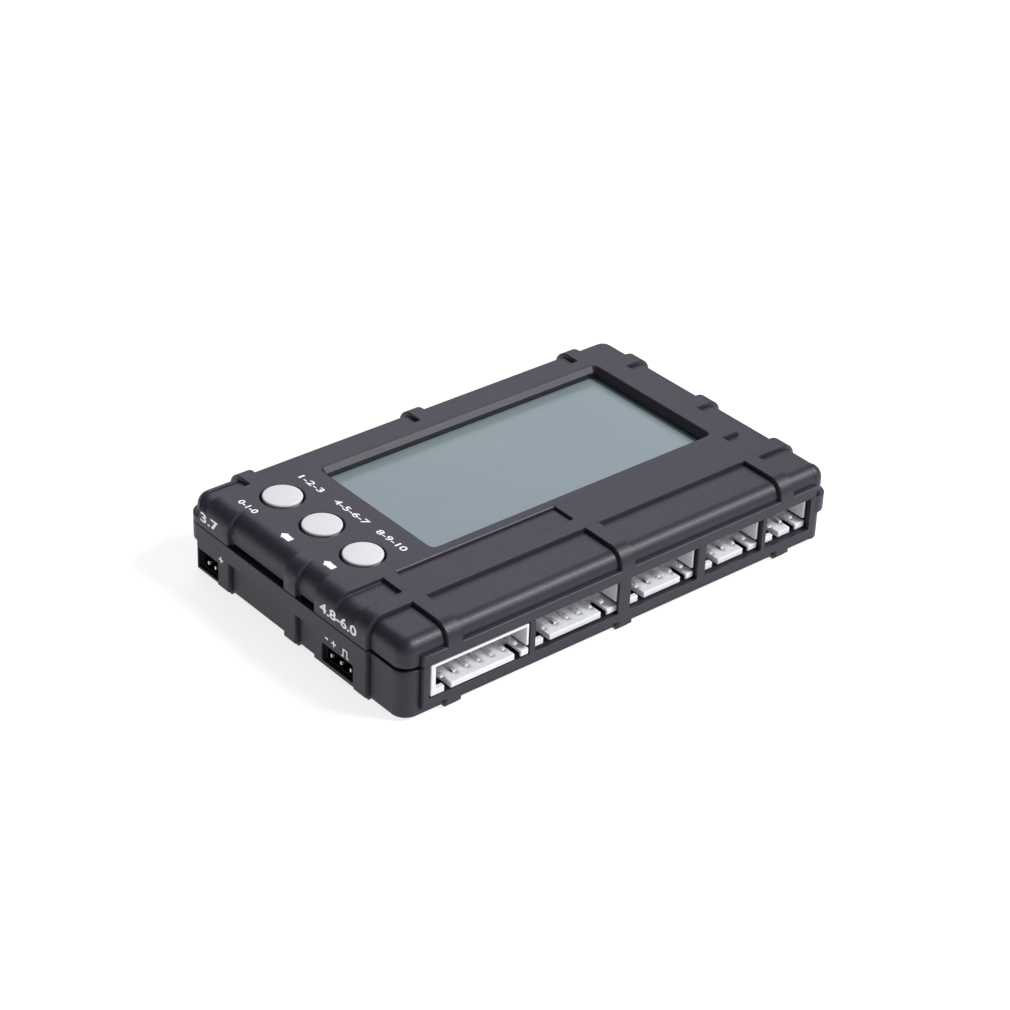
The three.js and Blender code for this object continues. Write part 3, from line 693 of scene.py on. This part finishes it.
def build_socket(pins):
    """Small black housing with its mouth in the left end of the case."""
    node = f"socket_{pins}_housing"
    low, high = cad_box(node)
    housing = bevelled(box_mesh(f"black_socket_{pins}", low, high), SOCKET_EDGE)
    apply_modifiers(housing)
    wall, skin = SOCKET_WALL["side"], SOCKET_WALL["skin"]
    mouth = -low[0]
    deep = -high[0] + SOCKET_WALL["back"]
    corner_low, corner_high = (-high[1] + wall, low[2] + skin), (-low[1] - wall, high[2] - skin)
    boolean(housing, mouth_cutter("cut_mouth", corner_low, corner_high, deep, mouth, MOUTH, TO_LEFT))
    for pin in range(1, pins + 1):
        pin_low, pin_high = cad_box(f"socket_{pins}_pin_{pin}")
        height = (pin_low[2] + pin_high[2]) / 2
        half_hole = (pin_high[1] - pin_low[1]) / 2 + PIN_GAP
        hole = box_mesh(
            "cut_pin",
            (-deep - PIN_HOLE_PAST, pin_low[1] - PIN_GAP, height - half_hole),
            (high[0] + PAST, pin_high[1] + PIN_GAP, height + half_hole),
        )
        boolean(housing, hole)
    smooth(housing, 40)
    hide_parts(node)
    return housing


# ---- buttons and display ----
def build_button(number):
    """A moulded cap: a shallow dome, a rounded rim, a skirt and a flange that keeps it under the case."""
    low, high = cad_box(f"button_cap_{number}")
    flange = (high[0] - low[0]) / 2
    bottom, top = low[2], high[2]
    shoulder, bevel, fillet = CAP_FLANGE["top"], CAP_FLANGE["bevel"], CAP["fillet"]
    reach = CAP["radius"] - CAP["edge"]
    rim = top - CAP["dome"] - CAP["edge"]
    profile = [
        (0.0, bottom),
        (flange - bevel, bottom),
        (flange, bottom + bevel),
        (flange, shoulder - bevel),
        (flange - bevel, shoulder),
        (CAP_SKIRT + fillet, shoulder),
        (CAP_SKIRT, shoulder + fillet),
        (CAP_SKIRT, rim - CAP["lip"]),
        (CAP["radius"], rim - fillet),
    ]
    profile += arc(reach, rim, CAP["edge"], 0, 85, 7)
    shares = (0.94, 0.86, 0.76, 0.64, 0.5, 0.36, 0.22, 0.1, 0.0)
    profile += [(reach * s, top - CAP["dome"] * s * s) for s in shares]
    cap = lathe_mesh(f"white_button_{number}", middle(low, high), profile, 96)
    smooth(cap, 50)
    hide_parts(f"button_cap_{number}")
    return cap


def build_display():
    """The front glass of the display with its polished edges."""
    low, high = cad_box("lcd_front_glass")
    bevel = GLASS["bevel"]
    layers = [(low[2], bevel), (low[2] + bevel, 0), (high[2] - bevel, 0), (high[2], bevel)]
    glass = stack_mesh("display_face", low, high, GLASS["corner"], layers)
    fix_normals(glass)
    smooth(glass, 30)
    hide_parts("lcd_front_glass")
    return glass


# ---- printed marks ----
PRINT_THICKNESS = 0.018
PRINT_SINK = 0.004
PRINT_EDGE = 0.45  # longer edges are divided, so that the print follows the case


def print_mesh(name, source, place):
    """A thin print: flat mesh in (s, t) millimetres, laid on the case by place(s, t, height)."""
    work = bmesh.new()
    work.from_mesh(source)
    bmesh.ops.remove_doubles(work, verts=work.verts, dist=1e-4)
    bmesh.ops.triangulate(work, faces=work.faces)
    for _ in range(2):
        long_edges = [e for e in work.edges if e.calc_length() > PRINT_EDGE]
        bmesh.ops.subdivide_edges(work, edges=long_edges, cuts=1, use_grid_fill=False)
        bmesh.ops.triangulate(work, faces=[f for f in work.faces if len(f.verts) > 3])
    extruded = bmesh.ops.extrude_face_region(work, geom=work.faces[:])
    for item in extruded["geom"]:
        if isinstance(item, bmesh.types.BMVert):
            item.co.z = 1.0
    for vertex in work.verts:
        height = PRINT_THICKNESS if vertex.co.z > 0.5 else -PRINT_SINK
        vertex.co = Vector(place(vertex.co.x, vertex.co.y, height)) * MM
    bmesh.ops.recalc_face_normals(work, faces=work.faces)
    mesh = bpy.data.meshes.new(name)
    work.to_mesh(mesh)
    work.free()
    obj = bpy.data.objects.new(name, mesh)
    bpy.context.scene.collection.objects.link(obj)
    return obj


def letters(text, height, width, weight):
    """Outline mesh of a short text, scaled to a height and width from its lower left corner. The
    weight makes its strokes wider, in shares of the font's size."""
    curve = bpy.data.curves.new("letters", "FONT")
    curve.body = text
    curve.resolution_u = 4
    curve.offset = weight
    holder = bpy.data.objects.new("letters", curve)
    bpy.context.scene.collection.objects.link(holder)
    bpy.context.view_layer.update()
    mesh = bpy.data.meshes.new_from_object(holder.evaluated_get(bpy.context.evaluated_depsgraph_get()))
    bpy.data.objects.remove(holder)
    bpy.data.curves.remove(curve)
    xs = [v.co.x for v in mesh.vertices]
    ys = [v.co.y for v in mesh.vertices]
    scale_x = width / (max(xs) - min(xs))
    scale_y = height / (max(ys) - min(ys))
    for vertex in mesh.vertices:
        vertex.co.x = (vertex.co.x - min(xs)) * scale_x
        vertex.co.y = (vertex.co.y - min(ys)) * scale_y
    return mesh


def polygon(points):
    mesh = bpy.data.meshes.new("outline")
    mesh.from_pydata([(x, y, 0.0) for x, y in points], [], [tuple(range(len(points)))])
    return mesh


def arrow():
    """An arrow with a wide shaft, which points to the left of the text beside it."""
    tip, head, length, width = 0.9, 0.95, 2.7, 1.7
    shaft = (0.25, 1.45)
    points = [(0, tip), (head, width), (head, shaft[1]), (length, shaft[1])]
    points += [(length, shaft[0]), (head, shaft[0]), (head, 0.0)]
    return polygon(points)


def pulse():
    """One square pulse between two short stretches of level line."""
    width, height, foot, line = 1.8, 1.25, 0.55, 0.26
    fall = width - foot
    points = [(0, 0), (foot, 0), (foot, height), (fall, height), (fall, 0), (width, 0)]
    points += [(width, line), (fall + line, line), (fall + line, height + line)]
    points += [(foot - line, height + line), (foot - line, line), (0, line)]
    return polygon(points)


def on_top(x, y):
    """Marks on the flat top read along -Y, with their tops towards +X."""
    return lambda s, t, height: (x + t, y - s, TOP + height)


def on_left_end(y, z):
    """Marks on the left end read along -Y, with their tops up, and follow the rounded edge of the top."""

    def place(s, t, height):
        bend = z + t - (TOP - TOP_FILLET)
        if bend <= 0:
            return -HALF_X - height, y - s, z + t
        lean = bend / TOP_FILLET
        reach = TOP_FILLET + height
        return (
            -HALF_X + TOP_FILLET - reach * math.cos(lean),
            y - s,
            TOP - TOP_FILLET + reach * math.sin(lean),
        )

    return place


TEXT_MARKS = [  # name, text, height, width, weight, place of the lower left corner
    ("print_key_3", "1-2-3", 1.3, 6.2, 0.014, on_top(-29.95, 20.6)),
    ("print_key_2", "4-5-6-7", 1.3, 8.9, 0.014, on_top(-29.95, 10.9)),
    ("print_key_1", "8-9-10", 1.3, 7.4, 0.014, on_top(-29.95, -0.7)),
    ("print_side", "0-1-0", 1.25, 4.7, 0.022, on_top(-42.6, 20.2)),
    ("print_end_2", "3.7", 1.85, 5.0, 0.022, on_left_end(25.0, 10.95)),
    ("print_end_3", "4.8-6.0", 1.85, 9.6, 0.022, on_left_end(-8.3, 10.95)),
    ("print_plus_2", "+", 1.2, 1.2, 0.02, on_left_end(19.85, 5.5)),
    ("print_minus_3", "-", 0.32, 0.8, 0.0, on_left_end(-9.7, 6.4)),
    ("print_plus_3", "+", 1.2, 1.2, 0.02, on_left_end(-11.4, 5.9)),
]
SHAPE_MARKS = [
    ("print_arrow_1", arrow, on_top(-43.2, 8.0)),
    ("print_arrow_2", arrow, on_top(-42.6, -2.8)),
    ("print_pulse_3", pulse, on_left_end(-14.1, 5.5)),
]


def build_marks():
    marks = []
    for name, text, height, width, weight, place in TEXT_MARKS:
        marks.append(print_mesh(name, letters(text, height, width, weight), place))
    for name, shape, place in SHAPE_MARKS:
        marks.append(print_mesh(name, shape(), place))
    for mark in marks:
        smooth(mark, 30, weighted=False)
    return marks


# ---- materials ----
CLOUD_RANGE = (0.35, 0.65)  # of the noise, from the dark colour to the light one
GRAIN_RANGE = (0.3, 0.7)


def object_noise(tree, scale, detail):
    """Noise in the frame's own space, so that neighbouring pieces share one grain."""
    place = tree.nodes.new("ShaderNodeTexCoord")
    noise = tree.nodes.new("ShaderNodeTexNoise")
    noise.inputs["Scale"].default_value = scale
    noise.inputs["Detail"].default_value = detail
    noise.inputs["Roughness"].default_value = 0.6
    tree.links.new(place.outputs["Object"], noise.inputs["Vector"])
    return noise


def ramp(tree, source, colours):
    node = tree.nodes.new("ShaderNodeValToRGB")
    for element, position, colour in zip(node.color_ramp.elements, CLOUD_RANGE, colours):
        element.position = position
        element.color = (*colour, 1.0)
    tree.links.new(source, node.inputs["Fac"])
    return node


def remap(tree, source, target):
    node = tree.nodes.new("ShaderNodeMapRange")
    node.inputs["From Min"].default_value = GRAIN_RANGE[0]
    node.inputs["From Max"].default_value = GRAIN_RANGE[1]
    node.inputs["To Min"].default_value = target[0]
    node.inputs["To Max"].default_value = target[1]
    tree.links.new(source, node.inputs["Value"])
    return node


def new_material(name, sockets):
    """A material, its node tree and its shader, with the sockets set on the shader itself."""
    material = bpy.data.materials.new(name)
    material.use_nodes = True
    shader = material.node_tree.nodes["Principled BSDF"]
    for socket, value in sockets.items():
        shader.inputs[socket].default_value = value
    return material, material.node_tree, shader


def grained(name, dark, light, roughness, grain, bump=0.15, depth=0.00002, cloud=60.0, sockets=None):
    """Moulded or cast stuff: a cloudy colour, a fine grain in its gloss, and that grain as a shallow
    bump. The scales of the grain and the clouds are per metre, and the bump's depth is in metres."""
    material, tree, shader = new_material(name, sockets or {})
    clouds = object_noise(tree, cloud, 4.0)
    colours = ramp(tree, clouds.outputs["Fac"], (dark, light))
    tree.links.new(colours.outputs["Color"], shader.inputs["Base Color"])
    fine = object_noise(tree, grain, 3.0)
    gloss = remap(tree, fine.outputs["Fac"], roughness)
    tree.links.new(gloss.outputs["Result"], shader.inputs["Roughness"])
    relief = tree.nodes.new("ShaderNodeBump")
    relief.inputs["Strength"].default_value = bump
    relief.inputs["Distance"].default_value = depth
    tree.links.new(fine.outputs["Fac"], relief.inputs["Height"])
    tree.links.new(relief.outputs["Normal"], shader.inputs["Normal"])
    return material


def metal(name, dark, light, roughness, grain):
    return grained(name, dark, light, roughness, grain, 0.1, 0.000008, 400.0, {"Metallic": 1.0})


def translucent(weight, radius, scale):
    return {
        "Subsurface Weight": weight,
        "Subsurface Radius": (radius, radius, radius),
        "Subsurface Scale": scale,
    }


MATERIALS = {
    "case_plastic": grained(
        "charcoal_plastic",
        dark=(0.0165, 0.0145, 0.0265),
        light=(0.0195, 0.017, 0.03),
        roughness=(0.42, 0.5),
        grain=3500.0,
        bump=0.22,
        depth=0.000012,
        sockets={"Specular IOR Level": 0.4},
    ),
    "button_plastic": grained(
        "white_button_plastic",
        dark=(0.67, 0.665, 0.685),
        light=(0.70, 0.695, 0.71),
        roughness=(0.42, 0.5),
        grain=4000.0,
        bump=0.12,
        depth=0.00001,
        sockets=translucent(0.08, 0.001, 0.4),
    ),
    "header_nylon": grained(
        "natural_nylon",
        dark=(0.67, 0.68, 0.70),
        light=(0.71, 0.72, 0.74),
        roughness=(0.36, 0.46),
        grain=2600.0,
        bump=0.2,
        depth=0.000012,
        cloud=180.0,
        sockets=translucent(0.35, 0.0012, 0.7),
    ),
    "lcd_glass": grained(
        "display_glass",
        dark=(0.19, 0.246, 0.264),
        light=(0.205, 0.261, 0.279),
        roughness=(0.16, 0.2),
        grain=5000.0,
        bump=0.05,
        depth=0.000005,
        cloud=25.0,
        sockets={"Specular IOR Level": 0.2},
    ),
    "component_black": grained(
        "moulded_black",
        dark=(0.002, 0.002, 0.0025),
        light=(0.004, 0.004, 0.0045),
        roughness=(0.7, 0.8),
        grain=3500.0,
        sockets={"Specular IOR Level": 0.12},
    ),
    "pin_metal": metal("tin_plate", (0.66, 0.66, 0.64), (0.80, 0.80, 0.78), (0.2, 0.34), 6000.0),
    "screw_steel": metal("zinc_steel", (0.45, 0.45, 0.46), (0.58, 0.58, 0.6), (0.28, 0.42), 5000.0),
    "lcd_reflector": metal("foil", (0.70, 0.71, 0.72), (0.78, 0.79, 0.8), (0.3, 0.4), 3000.0),
    "elastomer": grained("rubber", (0.05, 0.05, 0.05), (0.08, 0.08, 0.08), (0.6, 0.75), 3000.0),
    # The board is real, but its near-black colour is painted shade: it makes the board seen through the
    # header slots read as their dark depth.
    "board_laminate": grained("laminate", (0.004, 0.006, 0.005), (0.007, 0.01, 0.008), (0.3, 0.42), 2500.0),
    "resistor_ceramic": grained(
        "ceramic", (0.62, 0.60, 0.55), (0.70, 0.68, 0.63), (0.6, 0.75), 2500.0, bump=0.4
    ),
}
INK = grained(
    "white_ink",
    dark=(0.93, 0.93, 0.95),
    light=(0.97, 0.97, 0.98),
    roughness=(0.5, 0.62),
    grain=5000.0,
    bump=0.2,
    depth=0.00001,
    cloud=900.0,
)


# ---- put the object together ----
def dress(obj, slot_name, material=None):
    obj.data.materials.clear()
    obj.data.materials.append(material or MATERIALS[slot_name])


def add(piece, slot_name, body, material=None):
    dress(piece, slot_name, material)
    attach(piece, body)


add(build_upper_case(), "case_plastic", "case")
add(build_lower_case(), "case_plastic", "case")
add(build_display(), "lcd_glass", "case")
for pin_count in HEADER_OPENINGS:
    add(build_header(pin_count), "header_nylon", "case")
for pin_count in SOCKET_PINS:
    add(build_socket(pin_count), "component_black", "case")
for button_number in BUTTONS:
    add(build_button(button_number), "button_plastic", f"button_{button_number}")
for printed in build_marks():
    add(printed, "button_plastic", "case", INK)

# The CAD nodes that no piece replaces get their material and a fine bevel.
NODE_BEVEL = 0.06
slots = {subpart["node"]: subpart["material_slot"] for subpart in frame["record"]["subparts"]}
for node_name, node_object in frame["nodes"].items():
    if not node_object.hide_render:
        dress(node_object, slots[node_name])
        bevelled(node_object, NODE_BEVEL, 2)


# ---- camera, light and floor ----
CAMERA = {
    "azimuth": -40.826,
    "elevation": 31.713,
    "roll": 2.335,
    "place": (-265.52, -305.45, 259.31),
    "lens": 99.77,
}
LIGHTS = [  # name, direction it comes from, distance and size in metres, power, colour
    ("key", (0.5, -0.55, 0.72), 1.1, 0.32, 12.8, (1.0, 1.0, 1.0)),
    ("back", (0.5, 0.75, 0.75), 1.1, 0.8, 4.0, (0.93, 0.89, 1.0)),
    ("front", (-0.1, -1.0, 0.55), 1.2, 0.5, 1.2, (1.0, 1.0, 1.0)),
]
WORLD_STRENGTH = 0.2


def set_camera():
    azimuth, elevation, roll = (math.radians(CAMERA[a]) for a in ("azimuth", "elevation", "roll"))
    back = Vector((
        math.sin(azimuth) * math.cos(elevation),
        -math.cos(azimuth) * math.cos(elevation),
        math.sin(elevation),
    ))
    level = Vector((math.cos(azimuth), math.sin(azimuth), 0))
    upright = back.cross(level)
    right = math.cos(roll) * level + math.sin(roll) * upright
    up = math.cos(roll) * upright - math.sin(roll) * level
    data = bpy.data.cameras.new("camera")
    data.lens = CAMERA["lens"]
    data.sensor_width = 36.0
    data.clip_start = 0.01
    camera = bpy.data.objects.new("camera", data)
    camera.matrix_world = Matrix((right, up, back)).transposed().to_4x4()
    camera.matrix_world.translation = Vector(CAMERA["place"]) * MM
    bpy.context.scene.collection.objects.link(camera)
    bpy.context.scene.camera = camera


def add_light(name, direction, distance, size, power, colour):
    """A square soft box that looks at the object from a direction."""
    data = bpy.data.lights.new(name, "AREA")
    data.shape = "SQUARE"
    data.size = size
    data.energy = power
    data.color = colour
    light = bpy.data.objects.new(name, data)
    aim = Vector(direction).normalized()
    light.location = aim * distance
    light.rotation_euler = aim.to_track_quat("Z", "Y").to_euler()
    bpy.context.scene.collection.objects.link(light)


def set_studio():
    scene = bpy.context.scene
    scene.view_settings.view_transform = "Standard"
    world = bpy.data.worlds.new("studio")
    world.use_nodes = True
    background = world.node_tree.nodes["Background"]
    background.inputs["Color"].default_value = (1.0, 1.0, 1.0, 1.0)
    background.inputs["Strength"].default_value = WORLD_STRENGTH
    scene.world = world
    for light in LIGHTS:
        add_light(*light)


def build_floor():
    """Plain white paper. It glows, so that it stays white and its shadows stay pale."""
    half = 3000.0
    corners = [(-half, -half, 0), (half, -half, 0), (half, half, 0), (-half, half, 0)]
    floor = mesh_object("floor", corners, [(0, 1, 2, 3)])
    paper = {
        "Base Color": (0.4, 0.4, 0.4, 1.0),
        "Roughness": 0.9,
        "Specular IOR Level": 0.1,
        "Emission Color": (1.0, 1.0, 1.0, 1.0),
        "Emission Strength": 0.79,
    }
    floor.data.materials.append(new_material("floor_paper", paper)[0])


set_camera()
set_studio()
build_floor()
